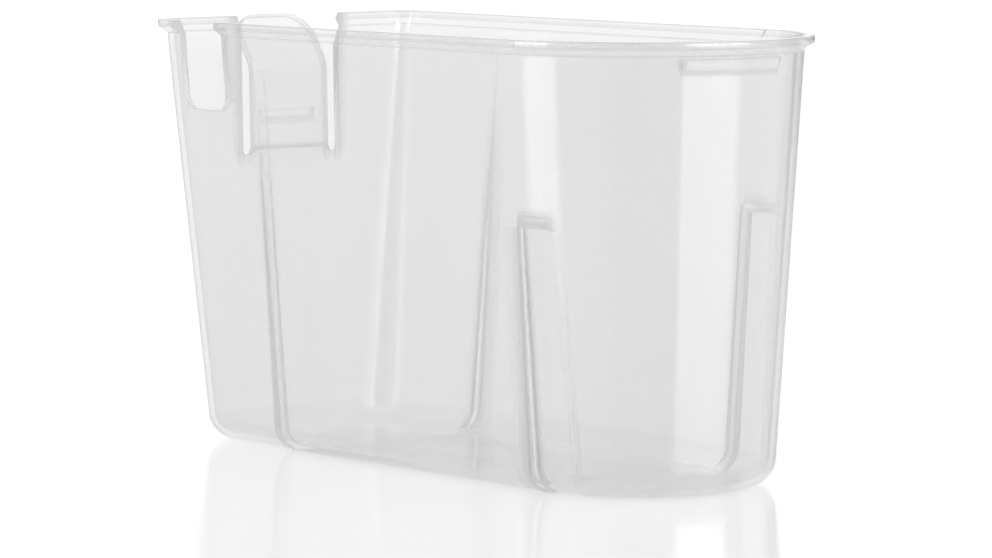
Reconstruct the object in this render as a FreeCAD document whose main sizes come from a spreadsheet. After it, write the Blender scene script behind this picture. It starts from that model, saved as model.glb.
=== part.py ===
"""Open storage tub with a sprung latch tongue, moulded in one translucent plastic.

The tub stands on its flat base. +X runs from the flat latch end to the round end, +Z is up, and
the origin is the centre of the bounding box on the surface that the tub stands on.
The latch tongue is part of the same moulding on the real tub. Here it is a body of its own, hinged
where it bends, along the line that joins the bottoms of its two slots.
"""
import FreeCAD, Part
import os
import Sketcher

DIMENSIONS = [
    # name, value in mm or degrees, what it is
    ("height", 150.0, "base to top of rim"),
    ("rim_length", 250.0, "outside of the walls at the rim, latch end to round end"),
    ("rim_width", 111.0, "outside of the walls at the rim, side to side"),
    ("wall", 2.2, "wall thickness"),
    ("side_draft", 3.7, "lean of the side walls and of the round end"),
    ("end_draft", 1.4, "lean of the latch end wall"),
    ("base_radius", 9.5, "rounding between walls and base, outside"),
    ("rim_corner", 6.0, "upright corners of the latch end, at the rim"),
    ("base_corner", 12.0, "upright corners of the latch end, at the base"),
    ("waist_length", 54.5, "latch end part whose sides lean in more"),
    ("waist_top", 137.5, "height where the waist starts to lean in"),
    ("waist_draft", 5.2, "lean of the waist sides"),
    ("pocket_top", 88.3, "ledge above the flat pocket on each side of the round end"),
    ("pocket_depth", 2.2, "depth of the pocket under its ledge"),
    ("pocket_draft", 4.8, "lean of the pocket's flat"),
    ("pocket_run", 24.0, "length of the cut that makes a pocket"),
    ("flange_reach", 3.2, "how far the rim stands out from the wall"),
    ("lip_height", 2.6, "upright edge of the rim"),
    ("flange_root", 4.6, "depth of the rim where it meets the wall"),
    ("lead_in", 5.0, "depth of the flare inside the rim"),
    ("notch_start", 12.2, "latch end to the near side of the finger notch"),
    ("notch_width", 24.0, "finger notch along the side wall"),
    ("notch_floor", 118.8, "height of the bottom of the finger notch"),
    ("notch_radius", 6.0, "bottom corners of the finger notch"),
    ("tongue_width", 34.2, "latch tongue between its slots"),
    ("slot_width", 4.3, "each slot beside the tongue"),
    ("slot_centre", 102.2, "height of the centre of the slots' round bottoms"),
    ("gap_foot", 138.0, "height where the far slot starts to widen"),
    ("gap_width", 4.6, "how much wider the far slot is at the rim"),
    ("knee_height", 132.0, "height where the tongue turns outward"),
    ("flare_angle", 35.5, "lean of the thumb lip on top of the tongue"),
    ("knee_radius", 10.0, "bend of the tongue, on its hollow side"),
    ("thumb_radius", 10.0, "top corners of the thumb lip"),
    ("keeper_width", 24.0, "catch on the outside of the tongue"),
    ("keeper_top", 116.1, "height of the catch's flat top"),
    ("keeper_height", 3.2, "catch, top to bottom"),
    ("keeper_depth", 1.4, "how far both catches stand out"),
    ("bar_angle", 41.0, "turn of the catch bar round the round end"),
    ("bar_turn", -5.5, "middle of the catch bar, from the tip of the round end"),
    ("bar_top", 144.1, "height of the catch bar's flat top"),
    ("bar_height", 4.2, "catch bar, top to bottom"),
    ("hinge_gap", 0.3, "clearance round the root of the tongue"),
    ("edge_radius", 0.8, "softening of the rim's edges"),
    ("spare", 5.0, "how far a cutting solid runs past what it cuts"),
]

doc = FreeCAD.newDocument("storage_tub")
sheet = doc.addObject("Spreadsheet::Sheet", "dims")
for row, (alias, value, meaning) in enumerate(DIMENSIONS, start=1):
    sheet.set(f"A{row}", meaning)
    sheet.set(f"B{row}", str(value))
    sheet.setAlias(f"B{row}", alias)
doc.recompute()


# ---- expressions shared by several pieces ----

# How far the thumb lip's edge stands out past the rim end of the latch wall.
THUMB_REACH = (
    "((dims.height - dims.knee_height - dims.wall * sin(dims.flare_angle)) * tan(dims.flare_angle)"
    " - (dims.height - dims.knee_height) * tan(dims.end_draft))"
)
# X of the latch wall's outside at the rim, and of the axis of the round end.
LATCH_END = f"(({THUMB_REACH} - dims.rim_length - dims.flange_reach) / 2)"
ROUND_AXIS = f"({LATCH_END} + dims.rim_length - dims.rim_width / 2)"
WAIST_END = f"({LATCH_END} + dims.waist_length)"
ABOVE_RIM = "(dims.height + dims.spare)"


def side_at(level, inset="0"):
    """Half the tub's width at a height. An inset moves the surface in by that much."""
    return f"(dims.rim_width / 2 - (dims.height - {level}) * tan(dims.side_draft) - ({inset}))"


def waist_at(level, inset="0"):
    """Half the width of the latch end part, below the height where its sides lean in more."""
    return f"({side_at('dims.waist_top', inset)} - (dims.waist_top - {level}) * tan(dims.waist_draft))"


def pocket_at(level, inset="0"):
    """Half the width across the two flat pockets."""
    drop = f"(dims.pocket_top - ({level}))"
    return f"({side_at('dims.pocket_top', inset)} - dims.pocket_depth - {drop} * tan(dims.pocket_draft))"


def end_at(level, inset="0"):
    """X of the latch wall at a height."""
    return f"({LATCH_END} + (dims.height - ({level})) * tan(dims.end_draft) + ({inset}))"


# ---- drawing helpers ----

def number(expression):
    """The value that an expression has now, in millimetres."""
    value = sheet.evalExpression(str(expression))
    return float(getattr(value, "Value", value))


def new_body(name):
    return doc.addObject("PartDesign::Body", name)


def new_sketch(body, name, plane, lift="0", shift="0"):
    """A sketch on one of the body's own planes, lifted along the plane's normal."""
    sketch = body.newObject("Sketcher::SketchObject", name)
    roles = {feature.Role: feature for feature in body.Origin.OriginFeatures}
    sketch.AttachmentSupport = (roles[plane], [""])
    sketch.MapMode = "FlatFace"
    sketch.setExpression("AttachmentOffset.Base.z", lift)
    sketch.setExpression("AttachmentOffset.Base.x", shift)
    return sketch


def arc_centre(start, end, axis, value):
    """The centre of an arc from start to end that has the given coordinate along axis."""
    middle = (start + end) * 0.5
    along = (end - start).cross(FreeCAD.Vector(0, 0, 1))
    gap = value - (middle.x if axis == "x" else middle.y)
    rate = along.x if axis == "x" else along.y
    return middle + along * (gap / rate if abs(rate) > 1e-9 else 0.0)


def draw_outline(sketch, corners):
    """Draw a closed outline through corners, in order.

    Each corner is (x, y) or (x, y, turn, axis, centre): then the edge that leaves it is an arc
    that turns "ccw" or "cw" round a centre whose coordinate along axis is given.
    """
    places = [FreeCAD.Vector(number(corner[0]), number(corner[1]), 0) for corner in corners]
    ends = []
    for index, corner in enumerate(corners):
        start, end = places[index], places[(index + 1) % len(corners)]
        if len(corner) == 2:
            sketch.addGeometry(Part.LineSegment(start, end), False)
            ends.append((1, 2))
            continue
        turn, axis, centre = corner[2:]
        middle = arc_centre(start, end, axis, number(centre))
        circle = Part.Circle(middle, FreeCAD.Vector(0, 0, 1), (start - middle).Length)
        first, last = (start, end) if turn == "ccw" else (end, start)
        sketch.addGeometry(Part.ArcOfCircle(circle, circle.parameter(first), circle.parameter(last)), False)
        ends.append((1, 2) if turn == "ccw" else (2, 1))
    for index, corner in enumerate(corners):
        following = (index + 1) % len(corners)
        start, end = ends[index]
        sketch.addConstraint(Sketcher.Constraint("Coincident", index, end, following, ends[following][0]))
        bind(sketch, "DistanceX", index, start, corner[0])
        bind(sketch, "DistanceY", index, start, corner[1])
        if len(corner) > 2:
            bind(sketch, "Distance" + corner[3].upper(), index, 3, corner[4])


def bind(sketch, kind, edge, point, expression):
    """Hold one coordinate of a point of an edge to an expression."""
    constraint = Sketcher.Constraint(kind, -1, 1, edge, point, number(expression))
    place = sketch.addConstraint(constraint)
    sketch.setExpression(f"Constraints[{place}]", expression)


def loft(body, name, sketches):
    """Join outlines with flat or conical faces. Sketches go from the top down."""
    feature = body.newObject("PartDesign::AdditiveLoft", name)
    feature.Profile = sketches[0]
    feature.Sections = sketches[1:]
    feature.Ruled = True
    return feature


def pad(body, name, sketch, length, midplane=False, backwards=False):
    feature = body.newObject("PartDesign::Pad", name)
    feature.Profile = sketch
    feature.setExpression("Length", length)
    feature.Midplane = midplane
    feature.Reversed = backwards
    return feature


def round_edges(body, name, radius, wanted):
    """Fillet the edges of the body's last feature that wanted(edge) picks."""
    doc.recompute()
    base = body.Tip
    names = [f"Edge{index}" for index, edge in enumerate(base.Shape.Edges, start=1) if wanted(edge)]
    feature = body.newObject("PartDesign::Fillet", name)
    feature.Base = (base, names)
    feature.setExpression("Radius", radius)
    doc.recompute()
    print(f"{name}: {len(names)} edges, volume {base.Shape.Volume:.0f} to {feature.Shape.Volume:.0f}")
    return feature


def join(name, pieces):
    feature = doc.addObject("Part::MultiFuse", name)
    feature.Shapes = pieces
    feature.Refine = True
    return feature


def cut(name, base, tool):
    feature = doc.addObject("Part::Cut", name)
    feature.Base = base
    feature.Tool = tool
    feature.Refine = True
    return feature


# ---- the tub's walls: the same envelope twice, outside and inside ----

def plan_outline(sketch, back, half, corner):
    """The tub seen from above: a flat end at x = back, straight sides and a round end."""
    turn = f"({back} + {corner})"
    draw_outline(sketch, [
        (turn, f"-{half}"),
        (ROUND_AXIS, f"-{half}", "ccw", "x", ROUND_AXIS),
        (ROUND_AXIS, half),
        (turn, half, "ccw", "x", turn),
        (back, f"({half} - {corner})"),
        (back, f"-({half} - {corner})", "ccw", "x", turn),
    ])


def cup(name, inset, sections):
    """A tapered solid through outlines (level, back, half, corner), top first, rounded below."""
    body = new_body(name)
    sketches = []
    for index, (level, back, half, corner) in enumerate(sections):
        sketch = new_sketch(body, f"{name}_outline_{index}", "XY_Plane", level)
        plan_outline(sketch, back, half, corner)
        sketches.append(sketch)
    loft(body, f"{name}_walls", sketches)
    floor = number(inset)
    round_edges(body, f"{name}_base", f"dims.base_radius - {inset}", lambda edge: on_floor(edge, floor))
    return body


def pocket_cutters(name, inset):
    """What the two flat pockets take off the round end, with the rounding into the base."""
    body = new_body(name)
    reach = "dims.rim_width"
    radius = f"(dims.base_radius - {inset})"
    ledge = f"(dims.pocket_top + {inset})"
    centre = (f"({pocket_at(inset, inset)}"
              f" + {radius} * (tan(dims.pocket_draft) - 1 / cos(dims.pocket_draft)))")
    tangent_y = f"({centre} + {radius} * cos(dims.pocket_draft))"
    tangent_z = f"({inset} + {radius} * (1 - sin(dims.pocket_draft)))"
    for side, sign in (("near", "-"), ("far", "")):
        sketch = new_sketch(body, f"{name}_{side}_section", "YZ_Plane", f"{ROUND_AXIS} - {inset}")
        corners = [
            (f"{sign}{centre}", inset, "ccw" if side == "far" else "cw", "y", f"({inset} + {radius})"),
            (f"{sign}{tangent_y}", tangent_z),
            (f"{sign}{pocket_at(ledge, inset)}", ledge),
            (f"{sign}{reach}", ledge),
            (f"{sign}{reach}", "-dims.spare"),
            (f"{sign}{centre}", "-dims.spare"),
        ]
        draw_outline(sketch, corners)
        pad(body, f"{name}_{side}", sketch, "dims.pocket_run")
    return body


def envelope(name, inset, top):
    """The closed shape inside one skin of the tub: the outside, or the space within."""
    straight = cup(f"{name}_straight", inset, [
        (top, end_at(top, "-dims.spare"), side_at(top, inset), "dims.base_corner"),
        (inset, end_at(inset, "-dims.spare"), side_at(inset, inset), "dims.base_corner"),
    ])
    waisted = cup(f"{name}_waisted", inset, [
        (ABOVE_RIM, end_at(ABOVE_RIM, inset), waist_at(ABOVE_RIM, inset), f"(dims.rim_corner - {inset})"),
        (inset, end_at(inset, inset), waist_at(inset, inset), f"(dims.base_corner - {inset})"),
    ])
    block = doc.addObject("Part::Box", f"{name}_latch_end")
    block.setExpression("Length", "dims.rim_length")
    block.setExpression("Width", "2 * dims.rim_width")
    block.setExpression("Height", "dims.height + 2 * dims.spare")
    block.setExpression("Placement.Base.x", f"{WAIST_END} + {inset} - dims.rim_length")
    block.setExpression("Placement.Base.y", "-dims.rim_width")
    block.setExpression("Placement.Base.z", "-dims.spare")
    waist = cut(f"{name}_waist_cutter", block, waisted)
    sides = cut(f"{name}_sides", straight, waist)
    return cut(f"{name}_envelope", sides, pocket_cutters(f"{name}_pockets", inset))


def on_floor(edge, level):
    """True for an edge that lies flat at a height."""
    return all(abs(vertex.Point.z - level) < 1e-4 for vertex in edge.Vertexes)


# ---- the rim ----

def rim_outline(sketch, level, outset):
    """The whole outline of the tub near its rim, moved out by outset."""
    plan_outline(sketch, end_at(level, f"-({outset})"), side_at(level, f"-({outset})"),
                 f"(dims.rim_corner + {outset})")


def rim_flange():
    """The out-turned rim, as a plate that the inside is cut from later."""
    body = new_body("rim_flange")
    lip = "(dims.height - dims.lip_height)"
    root = "(dims.height - dims.flange_root)"
    sections = []
    for label, level, outset in (("lip", lip, "dims.flange_reach"), ("root", root, "0")):
        sketch = new_sketch(body, f"flange_{label}", "XY_Plane", level)
        rim_outline(sketch, level, outset)
        sections.append(sketch)
    loft(body, "flange_slope", sections)
    edge = new_sketch(body, "flange_edge", "XY_Plane", lip)
    rim_outline(edge, lip, "dims.flange_reach")
    pad(body, "flange_lip", edge, "dims.lip_height")
    height, low = number("dims.height"), number(lip)
    round_edges(body, "flange_softened", "dims.edge_radius",
                lambda side: on_floor(side, height) or on_floor(side, low))
    return body


def rim_lead_in():
    """The flare cut inside the rim, from the inner wall up to the top of the outer wall."""
    body = new_body("rim_lead_in")
    foot = "(dims.height - dims.lead_in)"
    grown = "(dims.wall * dims.spare / dims.lead_in)"
    sections = []
    for label, level, outset in (("mouth", ABOVE_RIM, grown), ("foot", foot, "-dims.wall")):
        sketch = new_sketch(body, f"lead_in_{label}", "XY_Plane", level)
        rim_outline(sketch, level, outset)
        sections.append(sketch)
    loft(body, "lead_in_flare", sections)
    return body


# ---- openings and catches ----

def finger_notch():
    """The cut through the near side wall and its rim."""
    body = new_body("finger_notch")
    left = f"({LATCH_END} + dims.notch_start)"
    right = f"({left} + dims.notch_width)"
    bend = "(dims.notch_floor + dims.notch_radius)"
    sketch = new_sketch(body, "notch_outline", "XZ_Plane")
    draw_outline(sketch, [
        (left, bend, "ccw", "y", bend),
        (f"({left} + dims.notch_radius)", "dims.notch_floor"),
        (f"({right} - dims.notch_radius)", "dims.notch_floor", "ccw", "y", bend),
        (right, bend),
        (right, ABOVE_RIM),
        (left, ABOVE_RIM),
    ])
    pad(body, "notch_cut", sketch, "dims.rim_width")
    return body


def latch_window():
    """The opening that the tongue stands in: a slot on each side, joined above and below."""
    body = new_body("latch_window")
    inner = "(dims.tongue_width / 2)"
    outer = f"({inner} + dims.slot_width)"
    sketch = new_sketch(body, "window_outline", "YZ_Plane", f"{LATCH_END} - 4 * dims.spare")
    draw_outline(sketch, [
        (f"-{outer}", "dims.slot_centre", "ccw", "y", "dims.slot_centre"),
        (f"-{inner}", "dims.slot_centre"),
        (inner, "dims.slot_centre", "ccw", "y", "dims.slot_centre"),
        (outer, "dims.slot_centre"),
        (outer, "dims.gap_foot"),
        (f"({outer} + dims.gap_width)", "dims.height"),
        (f"({outer} + dims.gap_width)", ABOVE_RIM),
        (f"-{outer}", ABOVE_RIM),
    ])
    pad(body, "window_cut", sketch, "8 * dims.spare")
    return body


def root_groove():
    """The hollow along the wall's edge that the tongue's round root turns in."""
    groove = doc.addObject("Part::Cylinder", "root_groove")
    groove.setExpression("Radius", "dims.wall / 2 + dims.hinge_gap")
    groove.setExpression("Height", "dims.tongue_width + 2 * dims.hinge_gap")
    groove.Placement.Rotation = FreeCAD.Rotation(FreeCAD.Vector(1, 0, 0), 90)
    groove.setExpression("Placement.Base.x", end_at("dims.slot_centre", "dims.wall / 2"))
    groove.setExpression("Placement.Base.y", "dims.tongue_width / 2 + dims.hinge_gap")
    groove.setExpression("Placement.Base.z", "dims.slot_centre")
    return groove


def catch_bar():
    """The wedge under the rim of the round end: flat on top, sloping back to the wall below."""
    body = new_body("catch_bar")
    low = "(dims.bar_top - dims.bar_height)"
    sunk = "(dims.wall / 2)"
    sketch = new_sketch(body, "bar_section", "XZ_Plane", "0", ROUND_AXIS)
    sketch.AttachmentOffset.Rotation = FreeCAD.Rotation(FreeCAD.Vector(0, 1, 0), 1)
    sketch.setExpression("AttachmentOffset.Rotation.Angle", "dims.bar_turn")
    draw_outline(sketch, [
        (f"({side_at(low)} - {sunk})", low),
        (side_at(low), low),
        (f"({side_at('dims.bar_top')} + dims.keeper_depth)", "dims.bar_top"),
        (f"({side_at('dims.bar_top')} - {sunk})", "dims.bar_top"),
    ])
    sweep = body.newObject("PartDesign::Revolution", "bar_sweep")
    sweep.Profile = sketch
    sweep.ReferenceAxis = (sketch, ["V_Axis"])
    sweep.setExpression("Angle", "dims.bar_angle")
    sweep.Midplane = True
    return body


# ---- the latch tongue ----

def latch_tongue():
    """The springy tongue, from its round root up to the thumb lip, with its catch."""
    body = new_body("latch_tongue")
    lean = "dims.flare_angle"
    root = "dims.slot_centre"
    inner_knee = f"(dims.knee_height + dims.wall * tan({lean} / 2))"
    tip_x = f"({LATCH_END} - {THUMB_REACH})"
    sketch = new_sketch(body, "tongue_side", "XZ_Plane")
    draw_outline(sketch, [
        (end_at(root), root, "ccw", "y", root),
        (end_at(root, "dims.wall"), root),
        (end_at(inner_knee, "dims.wall"), inner_knee),
        (f"({tip_x} + dims.wall * cos({lean}))", "dims.height"),
        (tip_x, f"(dims.height - dims.wall * sin({lean}))"),
        (end_at("dims.knee_height"), "dims.knee_height"),
    ])
    pad(body, "tongue_plate", sketch, "dims.tongue_width", midplane=True)

    low = "(dims.keeper_top - dims.keeper_height)"
    sunk = "dims.wall / 2"
    wedge = new_sketch(body, "keeper_section", "XZ_Plane")
    draw_outline(wedge, [
        (end_at("dims.keeper_top", sunk), "dims.keeper_top"),
        (end_at("dims.keeper_top", "-dims.keeper_depth"), "dims.keeper_top"),
        (end_at(low), low),
        (end_at(low, sunk), low),
    ])
    pad(body, "keeper", wedge, "dims.keeper_width", midplane=True)

    knee, half = number("dims.knee_height"), number("dims.tongue_width / 2")
    upper_knee = number(inner_knee)
    tip_low = number(f"dims.height - dims.wall * sin({lean})")
    round_edges(body, "knee_hollow", "dims.knee_radius",
                lambda edge: on_floor(edge, knee))
    round_edges(body, "knee_back", "dims.knee_radius + dims.wall",
                lambda edge: on_floor(edge, upper_knee))
    round_edges(body, "thumb_corners", "dims.thumb_radius",
                lambda edge: crosses_tip(edge, half, tip_low))
    return body


def crosses_tip(edge, half, low):
    """True for the two short edges through the plate at the corners of the thumb lip."""
    at_side = abs(abs(edge.CenterOfMass.y) - half) < 1e-3
    return at_side and min(vertex.Point.z for vertex in edge.Vertexes) > low - 1e-3


def tub():
    """The tub: outer envelope, rim and catch bar, less the space within and the openings."""
    solid = join("tub_solid", [envelope("outer", "0", "dims.height"), rim_flange(), catch_bar()])
    openings = [envelope("inner", "dims.wall", ABOVE_RIM), rim_lead_in(), finger_notch(), latch_window()]
    return cut("tub", solid, join("tub_openings", openings + [root_groove()]))


NODES = {"tub": tub(), "latch_tongue": latch_tongue()}
doc.recompute()

for thing in doc.Objects:
    if {"Invalid", "Error"} & set(thing.State):
        raise SystemExit(f"{thing.Name} failed: {thing.State}")

os.makedirs("parts", exist_ok=True)
for name, node in NODES.items():
    node.Label = name
    shape = node.Shape
    if shape.isNull() or not shape.isValid() or len(shape.Solids) != 1:
        raise SystemExit(f"{name} is not one valid solid")
    box = shape.BoundBox
    print(f"{name}: volume {shape.Volume / 1000:.1f} cm3, X {box.XMin:.2f} to {box.XMax:.2f},"
          f" Y {box.YMin:.2f} to {box.YMax:.2f}, Z {box.ZMin:.2f} to {box.ZMax:.2f}")
    shape.exportStep(f"parts/{name}.step")
print("round end axis at X", round(number(ROUND_AXIS), 3), "latch wall at X", round(number(LATCH_END), 3))
print("hinge at X", round(number(end_at("dims.slot_centre", "dims.wall / 2")), 3))
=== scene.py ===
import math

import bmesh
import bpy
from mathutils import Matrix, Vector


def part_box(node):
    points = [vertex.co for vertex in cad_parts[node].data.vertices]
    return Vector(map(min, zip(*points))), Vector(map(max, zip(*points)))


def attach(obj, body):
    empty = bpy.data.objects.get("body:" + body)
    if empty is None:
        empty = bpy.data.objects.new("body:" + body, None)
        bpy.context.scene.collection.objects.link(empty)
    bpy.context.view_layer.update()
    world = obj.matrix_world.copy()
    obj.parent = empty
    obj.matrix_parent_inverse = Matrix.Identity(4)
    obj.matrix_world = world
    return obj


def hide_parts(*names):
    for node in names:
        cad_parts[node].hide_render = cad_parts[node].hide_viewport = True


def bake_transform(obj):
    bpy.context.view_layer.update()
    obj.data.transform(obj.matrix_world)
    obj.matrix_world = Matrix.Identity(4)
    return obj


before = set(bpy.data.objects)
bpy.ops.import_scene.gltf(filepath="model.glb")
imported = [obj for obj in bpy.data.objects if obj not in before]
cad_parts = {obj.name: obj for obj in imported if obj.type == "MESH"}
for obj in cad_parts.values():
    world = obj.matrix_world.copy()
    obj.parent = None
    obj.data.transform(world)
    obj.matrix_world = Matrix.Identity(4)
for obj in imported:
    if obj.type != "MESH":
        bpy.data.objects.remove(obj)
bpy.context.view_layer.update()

# %% [markdown]
# ## The frame and its size
# The CAD tub and its latch tongue are loaded first, and the latch wall's place is read from the
# tub's box.

# %% [markdown]
# ## Real sizes
# The tub is one injection moulding. Its walls lean outward so that it leaves the mould and so that
# tubs stack, and they are all one thickness so that the plastic cools evenly. They could be typed
# in where they are used, but one list keeps the looks and the CAD to the same numbers.

# %% Sizes in millimetres and degrees
HEIGHT, LENGTH, WIDTH, WALL = 150.0, 250.0, 111.0, 2.2
SIDE_DRAFT, END_DRAFT, WAIST_DRAFT, POCKET_DRAFT = 3.7, 1.4, 5.2, 4.8
BASE_RADIUS, RIM_CORNER, BASE_CORNER = 9.5, 6.0, 12.0
WAIST_LENGTH, WAIST_TOP = 54.5, 137.5
POCKET_TOP, POCKET_DEPTH = 88.3, 2.2
FLANGE, FLANGE_ROOT, LIP_HEIGHT, LEAD_IN = 3.2, 4.6, 2.6, 5.0
NOTCH_START, NOTCH_WIDTH, NOTCH_FLOOR, NOTCH_RADIUS = 12.2, 24.0, 118.8, 6.0
TONGUE_WIDTH, SLOT_WIDTH, SLOT_CENTRE = 34.2, 4.3, 102.2
GAP_FOOT, GAP_WIDTH = 138.0, 4.6
KNEE, FLARE, KNEE_RADIUS, THUMB_RADIUS = 132.0, 35.5, 10.0, 10.0
KEEPER_WIDTH, KEEPER_TOP, KEEPER_HEIGHT, CATCH_DEPTH = 24.0, 116.1, 3.2, 1.4
BAR_ANGLE, BAR_TURN, BAR_TOP, BAR_HEIGHT = 41.0, 5.5, 144.1, 4.2
EDGE = 0.45  # radius of every cut edge
LATCH_END = 1000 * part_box("tub")[0].x + FLANGE
ROUND_AXIS = LATCH_END + LENGTH - WIDTH / 2
print("outside of the latch wall at X", round(LATCH_END, 2), "mm")
print("axis of the round end at X", round(ROUND_AXIS, 2), "mm")


def tan(degrees):
    return math.tan(math.radians(degrees))


def sin(degrees):
    return math.sin(math.radians(degrees))


def cos(degrees):
    return math.cos(math.radians(degrees))


def steps(start, stop, count):
    """Evenly spaced values, both ends included."""
    return [start + (stop - start) * index / count for index in range(count + 1)]

# %% [markdown]
# ## The tub as columns and rows
# Every wall is followed by columns, placed round the plan, and by rows, placed up the section. A
# place in plan and a place in section give one point of the skin. It could also be made by
# extruding the plan, cutting the openings with booleans and bevelling what is left. The grid was
# chosen because the waist's step fades out towards the rim, and one grid holds that step, the
# pockets and the openings. The inner skin is the same plan, moved in by the wall.

# %% The plan: half widths at any height
def side_half(z, inset):
    return WIDTH / 2 - (HEIGHT - z) * tan(SIDE_DRAFT) - inset


def waist_half(z, inset):
    if z > WAIST_TOP:
        return side_half(z, inset)
    return side_half(WAIST_TOP, inset) - (WAIST_TOP - z) * tan(WAIST_DRAFT)


def pocket_half(z, inset):
    return side_half(POCKET_TOP, inset) - POCKET_DEPTH - (POCKET_TOP - z) * tan(POCKET_DRAFT)


print("half widths at the base:", round(side_half(0, 0), 1), round(waist_half(0, 0), 1))

# %% [markdown]
# ## Soft steps and the round into the base
# No step in a moulding is quite sharp, because the tool's corners are not. Outside they are crisp
# and inside they are easier, so that the plastic lets go of the core. A bevel could round them
# afterwards, but a step that fades to nothing gives a bevel no edge to hold on to.

# %% Steps and rounds
# Seven places across a step: (distance from its middle in half widths, share of the way over it).
S_CURVE = [(-1.4, 0.0), (-0.6, 0.04), (-0.18, 0.18), (0.0, 0.5), (0.18, 0.82), (0.6, 0.96), (1.4, 1.0)]
CRISP_STEP, EASY_STEP = 0.22, 1.5
CREASE_BLEND = 0.35


def soft_step(value, half_width):
    """0 below, 1 above, with a smooth turn between -half_width and half_width."""
    share = min(1.0, max(0.0, value / (2 * half_width) + 0.5))
    return share * share * (3 - 2 * share)


def softness(inset):
    """Half the width of a moulded step: crisp outside, easy inside where the core must release."""
    return CRISP_STEP if inset <= 0 else EASY_STEP


def pocket_share(z, inset):
    """How much of the pocket there is at this height: none above its ledge."""
    return 1 - soft_step(z - POCKET_TOP - max(inset, 0), softness(inset))


def softer_minimum(a, b, blend):
    """The smaller of two values, rounded off where they cross."""
    share = min(1.0, max(0.0, 0.5 + (b - a) / (2 * blend)))
    return b + (a - b) * share - blend * share * (1 - share)


def base_inset(z, inset, draft):
    """How far the rounding into the base has moved the wall in at this height."""
    radius = BASE_RADIUS - max(inset, 0)
    rise = radius - (z - max(inset, 0))
    if rise <= radius * sin(draft):
        return 0.0
    return radius / cos(draft) - math.sqrt(max(0.0, radius ** 2 - rise ** 2)) - rise * tan(draft)


print("round into the base takes", round(base_inset(0, 0, SIDE_DRAFT), 2), "mm off each side")

# %% [markdown]
# ## Columns round the plan
# Each kind of wall has its own function, and each returns a small function that gives a place in
# plan for a height, an inset and a share of the catch bar. They could be one long function with
# many cases, but one for each wall can be read and changed alone.

# %% Columns of the latch wall, the corner and the waist
COLUMN_GAP = 0.05  # keeps columns apart where the corner's radius grows over them
STEP_CLEARANCE = 1.5
BAR_END_TURN = 0.35  # degrees over which the catch bar begins


def end_column(y):
    """On the flat latch wall, at a set distance from its middle."""
    def place(z, inset, bar):
        inward = base_inset(z, inset, END_DRAFT)
        return LATCH_END + (HEIGHT - z) * tan(END_DRAFT) + inset + inward, y
    return place


def corner_centre(z, inset):
    """Centre and radius of the upright corner, before the base's rounding."""
    radius = BASE_CORNER + (RIM_CORNER - BASE_CORNER) * z / HEIGHT - inset
    back = LATCH_END + (HEIGHT - z) * tan(END_DRAFT) + inset
    return back + radius, waist_half(z, inset) - radius, radius


def flat_column(share, gap):
    """Between the window and the corner, at a share of the way. The gap widens the slot's top."""
    def place(z, inset, bar):
        start = TONGUE_WIDTH / 2 + SLOT_WIDTH + gap * max(0.0, z - GAP_FOOT) / (HEIGHT - GAP_FOOT)
        x, y = end_column(0)(z, inset, bar)
        return x, start + (corner_centre(z, inset)[1] - start) * share
    return place


def corner_column(angle):
    """On the upright corner between the latch wall and the waist."""
    def place(z, inset, bar):
        x, y, radius = corner_centre(z, inset)
        radius -= base_inset(z, inset, END_DRAFT + (WAIST_DRAFT - END_DRAFT) * angle / 90)
        return x - radius * cos(angle), y + radius * sin(angle)
    return place


def waist_column(from_end, order):
    """On the waist, at a set distance from the latch wall, but always past the corner."""
    def place(z, inset, bar):
        x = max(LATCH_END + from_end, corner_centre(z, inset)[0] + COLUMN_GAP * (order + 1))
        return x, waist_half(z, inset) - base_inset(z, inset, WAIST_DRAFT)
    return place


def step_column(x, low, high, low_draft, high_draft, across, up):
    """On the rounded step between two walls that lean differently."""
    def place(z, inset, bar):
        first = low(z, inset) - base_inset(z, inset, low_draft)
        second = high(z, inset) - base_inset(z, inset, high_draft)
        return x(inset) + softness(inset) * across, first + (second - first) * up
    return place


print("latch wall at the base, X:", round(end_column(0)(0, 0, 0)[0], 2), "mm")

# %% [markdown]
# ## Columns of the side, the pockets and the round end
# The side wall runs between two steps. A pocket is a flat that cuts into the start of the round
# end, so its columns are the round wall's, pulled in wherever the flat lies deeper. A boolean with
# a block would cut the same shape, but would leave thin, uneven faces along the crease.

# %% Columns of the side, the pockets and the round end
def side_column(share):
    """On the side wall, at a share of the way between its two steps."""
    def place(z, inset, bar):
        clear_of_step = max(inset, 0) + STEP_CLEARANCE * softness(inset)
        start = LATCH_END + WAIST_LENGTH + clear_of_step
        stop = ROUND_AXIS - clear_of_step
        return start + (stop - start) * share, side_half(z, inset) - base_inset(z, inset, SIDE_DRAFT)
    return place


def pocketed(z, inset):
    """The side wall where the pocket has cut into it, above and below the ledge."""
    plain = side_half(z, inset) - base_inset(z, inset, SIDE_DRAFT)
    sunk = pocket_half(z, inset) - base_inset(z, inset, POCKET_DRAFT)
    return plain + (min(plain, sunk) - plain) * pocket_share(z, inset)


def pocket_step_column(across, up):
    """On the rounded step from the side wall down into the pocket."""
    def place(z, inset, bar):
        plain = side_half(z, inset) - base_inset(z, inset, SIDE_DRAFT)
        x = ROUND_AXIS - max(inset, 0) + softness(inset) * across
        return x, plain + (pocketed(z, inset) - plain) * up
    return place


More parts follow.
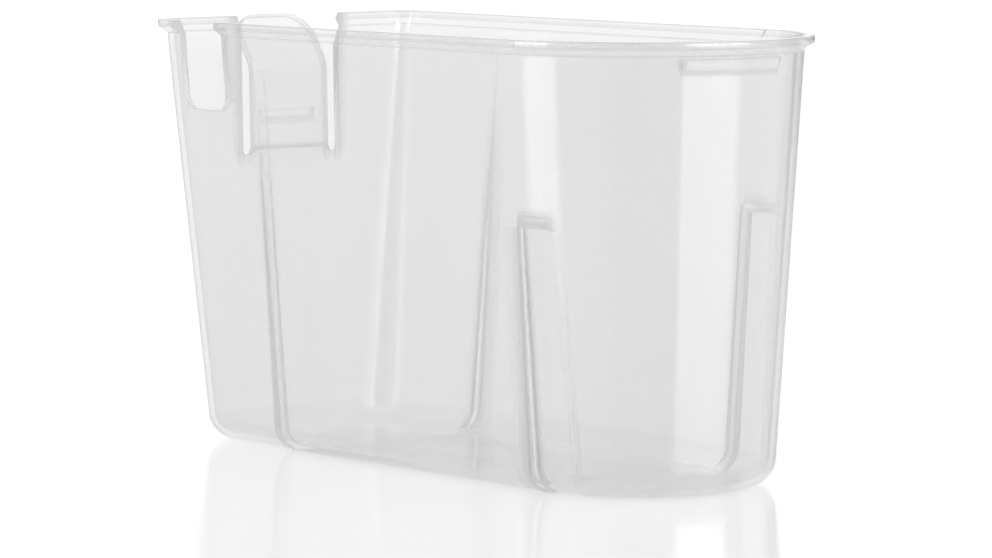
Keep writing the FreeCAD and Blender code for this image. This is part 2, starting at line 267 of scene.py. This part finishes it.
def round_column(angle, bar_reach):
    """On the round end, angle counted from the side wall. The pocket's flat cuts into it."""
    bar_there = soft_step(angle - 90 + bar_reach, BAR_END_TURN)

    def place(z, inset, bar):
        inward = base_inset(z, inset, SIDE_DRAFT)
        radius = side_half(z, inset) - inward + CATCH_DEPTH * bar * bar_there
        x, y = ROUND_AXIS + radius * sin(angle), radius * cos(angle)
        sunk = pocket_half(z, inset) - base_inset(z, inset, POCKET_DRAFT)
        return x, y + (softer_minimum(y, sunk, CREASE_BLEND) - y) * pocket_share(z, inset)
    return place


print("round tip at the base, X:", round(round_column(90, 0)(0, 0, 0)[0], 2), "mm")

# %% [markdown]
# ## Where the openings are
# The latch window and the finger notch are both cut down from the rim. A column inside one of them
# stops at the opening's edge instead of at the rim, and the slots' and the notch's round corners
# come from columns that stop at different heights. Booleans could cut them, but then the rounded
# cut edges would have to be found and bevelled one by one.

# %% The columns of half a tub, with the height where each one stops
RIM, WINDOW, NOTCH = "rim", "window", "notch"
# How many columns each stretch of wall has.
WINDOW_COUNT, SLOT_COUNT, FLAT_COUNT, CORNER_COUNT = 6, 12, 6, 14
NOTCH_COUNT, SIDE_COUNT, ROUND_COUNT, BAR_COUNT = 10, 16, 44, 14
BEFORE_NOTCH = (8.2, 9.5, 11.0, NOTCH_START)
AFTER_NOTCH = (NOTCH_START + NOTCH_WIDTH, 40.0, 45.0, 50.0)
FIRST_ANGLE, BAR_NEAR, BAR_CLOSE = 1.5, 0.4, 0.15


def half_columns(gap, bar_reach):
    """(place, height where it stops or None for the rim, which opening stops it)."""
    inner, outer = TONGUE_WIDTH / 2, TONGUE_WIDTH / 2 + SLOT_WIDTH
    columns = [(end_column(y), SLOT_CENTRE, WINDOW) for y in steps(0, inner, WINDOW_COUNT)]
    for angle in steps(0, 180, SLOT_COUNT)[1:]:
        y = inner + SLOT_WIDTH / 2 * (1 - cos(angle))
        columns.append((end_column(y), SLOT_CENTRE - SLOT_WIDTH / 2 * sin(angle), WINDOW))
    columns += [(flat_column(share, gap), None, RIM) for share in steps(0, 1, FLAT_COUNT)]
    columns += [(corner_column(angle), None, RIM) for angle in steps(0, 90, CORNER_COUNT)[1:-1]]
    notch = [(0.0, NOTCH_FLOOR + NOTCH_RADIUS)]
    for angle in steps(0, 90, NOTCH_COUNT)[1:]:
        height = NOTCH_FLOOR + NOTCH_RADIUS * (1 - sin(angle))
        notch.append((NOTCH_RADIUS * (1 - cos(angle)), height))
    notch += [(NOTCH_WIDTH - across, height) for across, height in reversed(notch)]
    waist = [(x, None, RIM) for x in BEFORE_NOTCH]
    waist += [(NOTCH_START + across, height, NOTCH) for across, height in notch]
    waist += [(x, None, RIM) for x in AFTER_NOTCH]
    for order, (from_end, top, opening) in enumerate(waist):
        columns.append((waist_column(from_end, order), top, opening))
    for across, up in S_CURVE:
        step = step_column(lambda inset: LATCH_END + WAIST_LENGTH + max(inset, 0), waist_half,
                           side_half, WAIST_DRAFT, SIDE_DRAFT, across, up)
        columns.append((step, None, RIM))
    columns += [(side_column(share), None, RIM) for share in steps(0, 1, SIDE_COUNT)[1:-1]]
    columns += [(pocket_step_column(across, up), None, RIM) for across, up in S_CURVE]
    bar_end = 90 - bar_reach
    angles = steps(FIRST_ANGLE, bar_end - BAR_NEAR, ROUND_COUNT)
    angles += [bar_end - BAR_CLOSE, bar_end + BAR_CLOSE]
    angles += steps(bar_end + BAR_NEAR, 90, BAR_COUNT)
    columns += [(round_column(angle, bar_reach), None, RIM) for angle in angles]
    return columns


NEAR_COLUMNS = half_columns(0, BAR_ANGLE / 2 + BAR_TURN)
FAR_COLUMNS = half_columns(GAP_WIDTH, BAR_ANGLE / 2 - BAR_TURN)
print("columns in half a tub:", len(NEAR_COLUMNS))

# %% [markdown]
# ## The section
# A column goes up the outside from the base, round the rim and down the inside. The rim is an
# out-turned flange with a sloping underside, which stiffens the open edge and carries the lid. Just
# inside it the wall flares a little so that a lid slides in. Moulded edges are never quite sharp,
# so each edge gets a small radius, which is also what catches the light. A Bevel modifier would
# give every edge one radius, and here the base, the rim and the flare each need their own.

# %% Rows of the walls
SLOT_EDGE = SLOT_CENTRE - EDGE
NOTCH_EDGE = NOTCH_FLOOR + NOTCH_RADIUS - EDGE
BASE_COUNT, LOWER_COUNT, LEDGE_CLEARANCE = 12, 14, 1.3
LEDGE_SHARES = (-1, -0.67, -0.33, 0, 0.33, 0.67, 1)
UPPER_ROWS = [95, SLOT_EDGE, 106, 110, 114, 118, 121, NOTCH_EDGE, 128, 132, 136]
WAIST_ROWS = [WAIST_TOP - 0.3, WAIST_TOP, WAIST_TOP + 0.3, GAP_FOOT + 0.2]


def wall_rows(inset, top):
    """Heights from the base's flat up to top, close together where the wall turns or steps."""
    radius = BASE_RADIUS - inset
    rows = [inset + radius * (1 - sin(angle)) for angle in steps(90, 0, BASE_COUNT)]
    ledge = POCKET_TOP + inset
    rows += steps(rows[-1], ledge - LEDGE_CLEARANCE * softness(inset), LOWER_COUNT)[1:]
    rows += [ledge + share * softness(inset) for share in LEDGE_SHARES]
    rows += UPPER_ROWS + WAIST_ROWS
    return [z for z in rows if z < top]


def rounded_corner(corner, start, stop, count):
    """Points of a soft turn from start to stop round corner, all as (z, inset)."""
    points = []
    for share in steps(0, 1, count):
        near, far = (1 - share) ** 2, share ** 2
        middle = 2 * share * (1 - share)
        z = near * start[0] + middle * corner[0] + far * stop[0]
        inset = near * start[1] + middle * corner[1] + far * stop[1]
        points.append((z, inset))
    return points


print("rows up the outside:", len(wall_rows(0, HEIGHT)))

# %% [markdown]
# ## Rows of the rim and the whole section
# Five soft turns make the rim: out under the flange, round its two edges, over the level top and
# down the flare. A curve object with a bevel could carry such a profile round the tub, but it could
# not stop at the openings.

# %% Rows of the rim
def rim_rows():
    """The flange, from the top of the outer wall round to the top of the inner wall."""
    root, lip, foot = HEIGHT - FLANGE_ROOT, HEIGHT - LIP_HEIGHT, HEIGHT - LEAD_IN
    upright = LIP_HEIGHT * tan(SIDE_DRAFT) - FLANGE
    turns = [  # corner, where the turn starts and stops as seen from it, how many pieces
        ((root, 0), (-0.6, 0), (0.3, -0.6), 4),
        ((lip, -FLANGE), (-0.25, 0.5), (0.5, 0), 4),
        ((HEIGHT, upright), (-0.8, 0), (0, 0.8), 6),
        ((HEIGHT, 0), (0, -0.4), (-0.4, 0.18), 4),
        ((foot, WALL), (0.8, -0.35), (-0.8, 0), 4),
    ]
    rows = []
    for corner, before, after, count in turns:
        start = (corner[0] + before[0], corner[1] + before[1])
        stop = (corner[0] + after[0], corner[1] + after[1])
        rows += rounded_corner(corner, start, stop, count)
    return rows


BAR_SLOPE = (0.3, 0.6, 0.93)
# The bar's level top: (height above it, how much of the bar is left).
BAR_LEDGE = [(-0.12, 0.99), (-0.02, 0.9), (0, 0.6), (0, 0.1), (0.1, 0)]
EDGE_COUNT, ROUNDING = 5, 1e-9


def full_section():
    """Rows of (height, inset, how much of the catch bar), up the outside and down the inside."""
    low = BAR_TOP - BAR_HEIGHT
    rows = [(z, 0, 0) for z in wall_rows(0, low)]
    rows += [(low, 0, 0)] + [(low + BAR_HEIGHT * share, 0, share) for share in BAR_SLOPE]
    rows += [(BAR_TOP + above, 0, share) for above, share in BAR_LEDGE]
    rows += [(z, inset, 0) for z, inset in rim_rows()]
    rows += [(z, WALL, 0) for z in reversed(wall_rows(WALL, HEIGHT - LEAD_IN - 1))]
    return rows


def short_section(full, top):
    """The same number of rows, but closed by a rounded edge at top."""
    outer = [row for row in full if row[1] <= 0 and row[0] <= top - EDGE + ROUNDING]
    inner = [row for row in full if row[1] == WALL and row[0] <= top - EDGE + ROUNDING]
    spare = len(full) - len(outer) - len(inner)
    edge = rounded_corner((top, 0), (top - EDGE, 0), (top, EDGE), EDGE_COUNT)
    edge += rounded_corner((top, WALL), (top, WALL - EDGE), (top - EDGE, WALL), EDGE_COUNT)
    first = spare - len(edge)
    rows = outer + [(top - EDGE, 0, 0)] * first + [(z, inset, 0) for z, inset in edge] + inner
    return rows, len(outer), len(outer) + spare


FULL = full_section()
print("rows in the section:", len(FULL))

# %% [markdown]
# ## Making the tub
# The grid is closed by a flat base outside and inside. Each base is one face with a corner for every
# column, which is the least that closes it. At the upright sides of the openings the full section is
# closed by one flat face, which is how the cut edge of the rim looks.

# %% Put the columns round the tub
MM = 0.001
MERGE, TINY = 2e-6, 1e-6  # metres
PER_METRE = 1e6  # micrometres, to tell points apart


def near_and_far():
    """Columns all the way round: down the near side to the round tip and back along the far side."""
    near = [(place, -1, top) for place, top, _ in NEAR_COLUMNS]
    far = [(place, 1, top if opening == WINDOW else None) for place, top, opening in FAR_COLUMNS]
    return near + far[-2:0:-1]


def add_column(bm, place, side, top):
    """The points of one column, and which of its rows are the rounded edge of an opening."""
    rows, first, last = (FULL, 0, len(FULL)) if top is None else short_section(FULL, top)
    points = []
    for z, inset, bar in rows:
        x, y = place(z, inset, bar)
        points.append(bm.verts.new(Vector((x, side * y, z)) * MM))
    return {"points": points, "top": top, "first": first, "last": last}


print("columns round the tub:", len(near_and_far()))

# %% [markdown]
# ## Finishing a mesh
# The plastic looks cloudier at edges and steps, where more of it lies in the line of sight, and the
# material greys the milk there as painted shade. So each point keeps a number called "turn", from 0
# on a flat to 1 on a sharp edge, and the material reads it. A painted mask could hold the same, but
# this one follows the shape by itself. It has a weakness: each base is one large face, so what its
# corners hold spreads over the flat, where it shows from above as faint triangles. A ring of small
# faces inside the edge would stop that.

# %% Helpers that finish a mesh
GENTLE_TURN, SHARP_TURN, CREASE = 5.0, 20.0, 40.0  # degrees


def mark_turns(bm):
    """Keep how sharply the skin turns at each vertex, 1 for a sharp edge, for the plastic to read."""
    layer = bm.verts.layers.float.new("turn")
    for vertex in bm.verts:
        turns = [edge.calc_face_angle(0) for edge in vertex.link_edges if len(edge.link_faces) == 2]
        sharpest = math.degrees(max(turns, default=0))
        vertex[layer] = min(1.0, max(0.0, (sharpest - GENTLE_TURN) / (SHARP_TURN - GENTLE_TURN)))


def edge_use(mesh):
    """How many faces meet at each edge: two everywhere on a closed skin."""
    uses = {}
    for polygon in mesh.polygons:
        for key in polygon.edge_keys:
            uses[key] = uses.get(key, 0) + 1
    return uses


def make_object(name, bm):
    """Turn a finished bmesh into an object with smooth faces and sharp creases."""
    bmesh.ops.recalc_face_normals(bm, faces=bm.faces)
    mark_turns(bm)
    for face in bm.faces:
        face.smooth = True
    for edge in bm.edges:
        if len(edge.link_faces) == 2 and edge.calc_face_angle(0) > math.radians(CREASE):
            edge.smooth = False
    mesh = bpy.data.meshes.new(name)
    bm.to_mesh(mesh)
    bm.free()
    made = bpy.data.objects.new(name, mesh)
    bpy.context.scene.collection.objects.link(made)
    open_edges = sum(1 for count in edge_use(mesh).values() if count != 2)
    print(f"{name}: {len(mesh.polygons)} faces, {open_edges} open edges")
    return made

# %% [markdown]
# ## Closing the tub's skin
# Neighbouring columns are joined row by row. Where one stops at an opening and the next reaches the
# rim, the space between them is the opening's upright side. Bridging two edge loops would join
# them too, but it picks its own pairs when the two sides have different points.

# %% Build the tub
def close_side(bm, here, there):
    """The upright cut face between a column that stops early and one that reaches the rim."""
    short, full = (here, there) if there["top"] is None else (there, here)
    cut = full["points"][short["first"]:short["last"]]
    edge = short["points"][short["first"]:short["last"]]
    below = full["points"][short["first"] - 1]
    above = full["points"][short["last"]]
    for row in list(range(short["first"] - 1)) + list(range(short["last"], len(FULL) - 1)):
        bm.faces.new([here["points"][row], there["points"][row],
                      there["points"][row + 1], here["points"][row + 1]])
    loop = [below] + cut + [above] + list(reversed(edge))
    seen, kept = set(), []
    for vertex in loop:
        key = tuple(round(value * PER_METRE) for value in vertex.co)
        if key not in seen:
            kept.append(vertex)
            seen.add(key)
    bm.faces.new(kept)


def build_tub():
    """The tub's closed skin, outside and inside."""
    bm = bmesh.new()
    ring = [add_column(bm, *column) for column in near_and_far()]
    for index, here in enumerate(ring):
        there = ring[(index + 1) % len(ring)]
        if (here["top"] is None) != (there["top"] is None):
            close_side(bm, here, there)
            continue
        for row in range(len(FULL) - 1):
            corners = [here["points"][row], there["points"][row],
                       there["points"][row + 1], here["points"][row + 1]]
            bm.faces.new(corners)
    bm.faces.new([column["points"][0] for column in ring])
    bm.faces.new([column["points"][-1] for column in ring])
    bmesh.ops.remove_doubles(bm, verts=bm.verts, dist=MERGE)
    bmesh.ops.dissolve_degenerate(bm, edges=bm.edges, dist=TINY)
    return make_object("tub_shell", bm)


tub = build_tub()

# %% [markdown]
# ## The latch tongue
# The tongue is the strip of the latch wall between the two slots. It stays thin so that it bends at
# its root, turns outward at the top to give the thumb a lip, and carries a small wedge outside that
# snaps over the lid's edge. A bevelled box bent by a modifier would come close, but rings along a
# line put the wedge and the rounded tip exactly where the CAD has them.

# %% The line up the tongue
KNEE_COUNT, TIP_COUNT = 10, 14
ROOT_GAP, TIP_GAP, WEDGE_GAP = 0.02, 0.02, 0.02
LOWER_TONGUE, UPPER_TONGUE = [104, 107, 110], [119, 123, 127]
WEDGE_SHARES = (1, 0.7, 0.4, 0.12, 0.03, 0.0, -0.03)


def tip_distances(length):
    """Up the thumb lip, close together towards the rounded tip."""
    return [length - THUMB_RADIUS * (1 - sin(angle)) - TIP_GAP * (angle < 90)
            for angle in steps(0, 90, TIP_COUNT)]


def tongue_line():
    """Points up the middle of the tongue as (x, z, lean), bending smoothly at the knee."""
    radius = KNEE_RADIUS + WALL / 2
    turn = FLARE - END_DRAFT
    reach = radius * tan(turn / 2)
    knee_x = LATCH_END + (HEIGHT - KNEE) * tan(END_DRAFT) + WALL / 2
    knee_z = KNEE + WALL / 2 * tan((FLARE + END_DRAFT) / 2)
    heights = [SLOT_CENTRE - ROOT_GAP] + LOWER_TONGUE
    heights += [KEEPER_TOP - KEEPER_HEIGHT * share for share in WEDGE_SHARES]
    heights += UPPER_TONGUE + [knee_z - reach]
    line = [(knee_x - (z - knee_z) * tan(END_DRAFT), z, END_DRAFT) for z in heights]
    start = line[-1]
    centre_x = start[0] - radius * cos(END_DRAFT)
    centre_z = start[1] - radius * sin(END_DRAFT)
    for lean in steps(END_DRAFT, FLARE, KNEE_COUNT)[1:]:
        line.append((centre_x + radius * cos(lean), centre_z + radius * sin(lean), lean))
    start = line[-1]
    top = HEIGHT - WALL / 2 * sin(FLARE)
    length = (top - start[1]) / cos(FLARE)
    for distance in tip_distances(length):
        line.append((start[0] - distance * sin(FLARE), start[1] + distance * cos(FLARE), FLARE))
    return line


LINE = tongue_line()
print("rings along the tongue:", len(LINE))

# %% [markdown]
# ## Rings round the tongue
# Each ring is a flat rectangle with rounded edges. It gets narrower towards the tip, which rounds the
# thumb lip's corners, and its outer side stands out where the wedge is.

# %% Rings round the tongue
ACROSS = [-1.0, -0.9, -0.75, -0.6, -0.45, -0.25, 0.0, 0.25, 0.45, 0.6, 0.75, 0.9, 1.0]
TIP_ACROSS = (-0.85, -0.8, 0.8, 0.85)  # stand in for the wedge's sides above it
WEDGE_SIDE, SIDE_TURN_COUNT = 0.12, 8


def keeper_share(z):
    """How far out the wedge stands at this height, from 0 to 1."""
    foot = KEEPER_TOP - KEEPER_HEIGHT
    if foot < z <= KEEPER_TOP - WEDGE_GAP * KEEPER_HEIGHT:
        return (z - foot) / KEEPER_HEIGHT
    return 0.0


def tongue_ring(x, z, lean, left):
    """A rounded rectangle across the tongue. left is how much of the tongue is left above."""
    half = TONGUE_WIDTH / 2
    if left < THUMB_RADIUS:
        gone = THUMB_RADIUS - left
        half -= THUMB_RADIUS - math.sqrt(max(0.0, THUMB_RADIUS ** 2 - gone ** 2))
    soft = min(EDGE, left)
    thick = WALL / 2 - (EDGE - math.sqrt(max(0.0, EDGE ** 2 - (EDGE - soft) ** 2)))
    outward, sideways = Vector((-cos(lean), 0, -sin(lean))), Vector((0, 1, 0))
    wedge = KEEPER_WIDTH / 2
    flat = [share * (half - EDGE) for share in ACROSS]
    if half > wedge + 1:
        sides = [-wedge - WEDGE_SIDE, -wedge + WEDGE_SIDE, wedge - WEDGE_SIDE, wedge + WEDGE_SIDE]
    else:
        sides = [share * (half - EDGE) for share in TIP_ACROSS]
    flat = sorted(flat + sides)
    middle = Vector((x, 0, z))
    points = []
    for y in flat:
        stand = CATCH_DEPTH * keeper_share(z) * soft_step(wedge - abs(y), WEDGE_SIDE)
        points.append(middle + outward * (thick + stand) + sideways * y)
    for angle in steps(0, 180, SIDE_TURN_COUNT)[1:-1]:
        y = half - EDGE + EDGE * sin(angle)
        points.append(middle + outward * (thick * cos(angle)) + sideways * y)
    for y in reversed(flat):
        points.append(middle - outward * thick + sideways * y)
    for angle in steps(180, 360, SIDE_TURN_COUNT)[1:-1]:
        y = -half + EDGE + EDGE * sin(angle)
        points.append(middle + outward * (thick * cos(angle)) + sideways * y)
    return points


def build_tongue():
    """The tongue's closed skin, from its root to its tip."""
    bm = bmesh.new()
    tip_x, tip_z = LINE[-1][0], LINE[-1][1]
    rings = []
    for x, z, lean in LINE:
        left = math.hypot(tip_x - x, tip_z - z)
        rings.append([bm.verts.new(point * MM) for point in tongue_ring(x, z, lean, left)])
    for low, high in zip(rings, rings[1:]):
        for index in range(len(low)):
            after = (index + 1) % len(low)
            bm.faces.new([low[index], low[after], high[after], high[index]])
    bm.faces.new(rings[0])
    bm.faces.new(rings[-1])
    bmesh.ops.remove_doubles(bm, verts=bm.verts, dist=MERGE)
    bmesh.ops.dissolve_degenerate(bm, edges=bm.edges, dist=TINY)
    return make_object("latch_tongue_skin", bm)


tongue = build_tongue()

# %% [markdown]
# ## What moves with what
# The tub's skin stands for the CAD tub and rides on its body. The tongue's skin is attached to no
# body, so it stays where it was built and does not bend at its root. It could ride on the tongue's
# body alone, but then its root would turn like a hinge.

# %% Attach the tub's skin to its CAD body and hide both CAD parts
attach(tub, "tub")
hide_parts("tub")
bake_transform(tongue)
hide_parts("latch_tongue")
print("attached:", tub.name, "and", tongue.name)

# %% [markdown]
# ## Frosted polypropylene
# Natural polypropylene has no pigment. Its crystals scatter a little light, so it is clear enough
# to see a slot through and milky enough to look white. The tool's surface is polished, so lamps
# still show in it as bright bands. A Principled BSDF with transmission bends what lies behind each
# wall, and with two skins to a wall that hid the far side. So clear, milky and glossy parts are
# mixed by hand here. "turn" makes the edges cloudier and less shiny, and greys the milk there as
# painted shade.

# %% Colours and nodes
def colour(hex_text):
    """A linear colour from an sRGB hex code."""
    parts = [int(hex_text[index:index + 2], 16) / 255 for index in (0, 2, 4)]
    linear = [part / 12.92 if part <= 0.04045 else ((part + 0.055) / 1.055) ** 2.4 for part in parts]
    return tuple(linear) + (1,)


def add(tree, kind, settings=None, values=None, links=None):
    """Add a node with its settings, the values of its inputs and the links into it."""
    node = tree.nodes.new(kind)
    for name, value in (settings or {}).items():
        setattr(node, name, value)
    for name, value in (values or {}).items():
        node.inputs[name].default_value = value
    for name, source in (links or {}).items():
        tree.links.new(source, node.inputs[name])
    return node


print("white in linear light:", colour("FFFFFF"))

# %% [markdown]
# ## Mixing the plastic
# Three things happen where light meets a wall: most goes straight on, some is scattered by the milky
# plastic, and a little is mirrored by the skin, more at a grazing angle. Each is one shader, and two
# mixes join them. The noise textures give the cloudiness and the fine grain of a moulded part.

# %% Make the plastic
EDGE_HAZE, EDGE_ROUGHNESS = 0.4, 0.35
FIRST, SECOND, MIXED = 6, 7, 2  # the colour sockets of a Mix node


def plastic_material():
    """Translucent polypropylene: seen straight through, partly milky, with a polished skin."""
    material = bpy.data.materials.new("frosted_polypropylene")
    material.use_nodes = True
    tree = material.node_tree
    tree.nodes.clear()
    where = add(tree, "ShaderNodeTexCoord")
    # Cloudiness varies over a few centimetres, as the melt flowed. The grain is about a millimetre.
    clouds = add(tree, "ShaderNodeTexNoise", values={"Scale": 28.0, "Detail": 2.0, "Roughness": 0.4},
                 links={"Vector": where.outputs["Object"]})
    grain = add(tree, "ShaderNodeTexNoise", values={"Scale": 900.0, "Detail": 3.0, "Roughness": 0.6},
                links={"Vector": where.outputs["Object"]})
    grainy = add(tree, "ShaderNodeBump", values={"Strength": 0.03, "Distance": 0.0001},
                 links={"Height": grain.outputs["Fac"]})
    # Edges and moulded steps have more plastic in the line of sight: cloudier, less shiny. Their
    # greyer milk is painted shade.
    turn = add(tree, "ShaderNodeAttribute", {"attribute_name": "turn"})
    haze = add(tree, "ShaderNodeMapRange", values={"To Min": 0.13, "To Max": 0.17},
               links={"Value": clouds.outputs["Fac"]})
    cloudy = add(tree, "ShaderNodeMath", {"operation": "MULTIPLY_ADD"}, {1: EDGE_HAZE},
                 {0: turn.outputs["Fac"], 2: haze.outputs["Result"]})
    satin = add(tree, "ShaderNodeMapRange", values={"To Min": 0.07, "To Max": 0.11},
                links={"Value": grain.outputs["Fac"]})
    rough = add(tree, "ShaderNodeMath", {"operation": "MULTIPLY_ADD"}, {1: EDGE_ROUGHNESS},
                {0: turn.outputs["Fac"], 2: satin.outputs["Result"]})
    # Painted shade: the milk greys from F4F4F4 to D4D4D4 where the skin turns, darkening edges and
    # steps.
    white = add(tree, "ShaderNodeMix", {"data_type": "RGBA"},
                {FIRST: colour("F4F4F4"), SECOND: colour("D4D4D4")}, {0: turn.outputs["Fac"]})
    milk_front = add(tree, "ShaderNodeBsdfDiffuse",
                     links={"Color": white.outputs[MIXED], "Normal": grainy.outputs["Normal"]})
    milk_through = add(tree, "ShaderNodeBsdfTranslucent",
                       links={"Color": white.outputs[MIXED], "Normal": grainy.outputs["Normal"]})
    milk = add(tree, "ShaderNodeMixShader", values={"Fac": 0.6},
               links={1: milk_front.outputs["BSDF"], 2: milk_through.outputs["BSDF"]})
    # A thin even wall shifts what is behind it by less than a millimetre, so it doesn't bend it here.
    clear = add(tree, "ShaderNodeBsdfTransparent", values={"Color": colour("FAFAFA")})
    wall = add(tree, "ShaderNodeMixShader", links={"Fac": cloudy.outputs["Value"],
               1: clear.outputs["BSDF"], 2: milk.outputs["Shader"]})
    # The skin mirrors 4 percent head on and everything at a grazing angle, from both sides alike.
    facing = add(tree, "ShaderNodeLayerWeight", values={"Blend": 0.5})
    grazing = add(tree, "ShaderNodeMath", {"operation": "POWER"}, {1: 5.0},
                  {0: facing.outputs["Facing"]})
    share = add(tree, "ShaderNodeMapRange", values={"To Min": 0.04, "To Max": 1.0},
                links={"Value": grazing.outputs["Value"]})
    shine = add(tree, "ShaderNodeBsdfGlossy", values={"Color": colour("FFFFFF")},
                links={"Normal": grainy.outputs["Normal"], "Roughness": rough.outputs["Value"]})
    skin = add(tree, "ShaderNodeMixShader", links={"Fac": share.outputs["Result"],
               1: wall.outputs["Shader"], 2: shine.outputs["BSDF"]})
    add(tree, "ShaderNodeOutputMaterial", links={"Surface": skin.outputs["Shader"]})
    return material


plastic = plastic_material()
for piece in (tub, tongue):
    piece.data.materials.append(plastic)
print("material:", plastic.name)

# %% [markdown]
# ## Studio
# A white product table: a glossy white floor in a white surround, and two tall soft boxes whose
# bands show in the round end. A dark card between them gives the darker band in the middle, and a
# dark card on each side, behind the tub, draws the outline of the clear plastic. A ready
# made sky would light it as well, but its bands could not be placed.

# %% Lamps and the table
def emitter(name, size, place, target, strength):
    """A flat lamp that faces target. It shows in the shine only, and the surround lights the rest."""
    light = bpy.data.lights.new(name, "AREA")
    light.shape = "RECTANGLE"
    light.size, light.size_y = size
    light.energy = strength
    lamp = bpy.data.objects.new(name, light)
    lamp.location = place
    lamp.rotation_mode = "QUATERNION"
    lamp.rotation_quaternion = (Vector(target) - Vector(place)).to_track_quat("-Z", "Y")
    lamp.visible_diffuse = False
    bpy.context.scene.collection.objects.link(lamp)


def floor_material():
    """White acrylic table, lit from below: bright, with a blurred reflection."""
    material = bpy.data.materials.new("white_table")
    material.use_nodes = True
    tree = material.node_tree
    tree.nodes.clear()
    where = add(tree, "ShaderNodeTexCoord")
    dust = add(tree, "ShaderNodeTexNoise", values={"Scale": 3.0, "Detail": 2.0},
               links={"Vector": where.outputs["Object"]})
    rough = add(tree, "ShaderNodeMapRange", values={"To Min": 0.12, "To Max": 0.16},
                links={"Value": dust.outputs["Fac"]})
    lacquer = add(tree, "ShaderNodeBsdfPrincipled",
                  values={"Base Color": colour("E2E2E2"), "IOR": 1.45,
                          "Emission Color": colour("FFFFFF"), "Emission Strength": 0.2},
                  links={"Roughness": rough.outputs["Result"]})
    add(tree, "ShaderNodeOutputMaterial", links={"Surface": lacquer.outputs["BSDF"]})
    return material


def plane(name, size, material, place=(0, 0, 0)):
    """A flat square sheet, size metres from its middle to each side."""
    bm = bmesh.new()
    bmesh.ops.create_grid(bm, x_segments=1, y_segments=1, size=size)
    mesh = bpy.data.meshes.new(name)
    bm.to_mesh(mesh)
    bm.free()
    made = bpy.data.objects.new(name, mesh)
    made.location = place
    made.data.materials.append(material)
    bpy.context.scene.collection.objects.link(made)
    return made


TABLE_HALF, BELOW_BASE = 12.0, 0.0001  # metres
floor = plane("table", TABLE_HALF, floor_material(), place=(0, 0, -BELOW_BASE))

world = bpy.data.worlds.new("studio")
bpy.context.scene.world = world
world.use_nodes = True
world.node_tree.nodes["Background"].inputs["Color"].default_value = colour("FFFFFF")
world.node_tree.nodes["Background"].inputs["Strength"].default_value = 1.0
print("table and surround:", floor.name, world.name)

# %% [markdown]
# ## Camera
# A long lens from low on the round end's side, so that upright edges stay almost parallel. A short
# lens from nearby would show the same sides, but would make the near corner loom.

# %% Camera
AZIMUTH, ELEVATION, DISTANCE = 50.716, 5.432, 1.76155
AIM_FROM_LATCH, AIM_SIDE, AIM_HEIGHT = 0.119605, 0.000403, 0.06287
LENS, SENSOR = 185.66, 36
aim = Vector((AIM_FROM_LATCH + LATCH_END * MM, AIM_SIDE, AIM_HEIGHT))
away = Vector((sin(AZIMUTH) * cos(ELEVATION), -cos(AZIMUTH) * cos(ELEVATION), sin(ELEVATION)))
camera = bpy.data.objects.new("camera", bpy.data.cameras.new("camera"))
camera.data.lens = LENS
camera.data.sensor_width = SENSOR
camera.data.clip_start, camera.data.clip_end = 0.05, 60
camera.location = aim + away * DISTANCE
camera.rotation_mode = "QUATERNION"
camera.rotation_quaternion = (-away).to_track_quat("-Z", "Y")
bpy.context.scene.collection.objects.link(camera)
bpy.context.scene.camera = camera
bpy.context.scene.view_settings.view_transform = "Standard"
print("camera at", [round(part, 3) for part in camera.location])

# %% [markdown]
# ## Soft boxes and dark cards
# Clear plastic is seen by what it mirrors, so what stands round it matters more than how strong the
# light is. Each lamp and card is placed by its turn from the camera, as on a studio floor.

# %% Soft boxes and dark cards
BOX_DISTANCE, BOX_HEIGHT, TUB_MIDDLE = 1.5, 0.65, (0, 0, 0.07)


def beside_camera(turn, distance, height):
    """A place round the tub, turned anticlockwise from the camera when seen from above."""
    angle = AZIMUTH - 90 + turn
    return Vector((distance * cos(angle), distance * sin(angle), height))


for name, size, turn, watts in (("left_box", (0.85, 1.6), -73, 23), ("right_box", (1.3, 1.6), 52, 34)):
    emitter(name, size, beside_camera(turn, BOX_DISTANCE, BOX_HEIGHT), TUB_MIDDLE, watts)

card = bpy.data.materials.new("dark_card")
card.use_nodes = True
card.node_tree.nodes["Principled BSDF"].inputs["Base Color"].default_value = colour("404040")


def dark_card(name, size, turn, distance):
    """An upright dark sheet that stands round the tub and faces it."""
    sheet = plane(name, size, card, place=beside_camera(turn, distance, size))
    sheet.rotation_mode = "QUATERNION"
    sheet.rotation_quaternion = beside_camera(turn, 1, 0).to_track_quat("Z", "Y")


for name, size, turn, distance in (("front_card", 1.2, 3, 2.6), ("right_edge_card", 1.0, 151, 3.0),
                                   ("left_edge_card", 1.0, -151, 3.0)):
    dark_card(name, size, turn, distance)
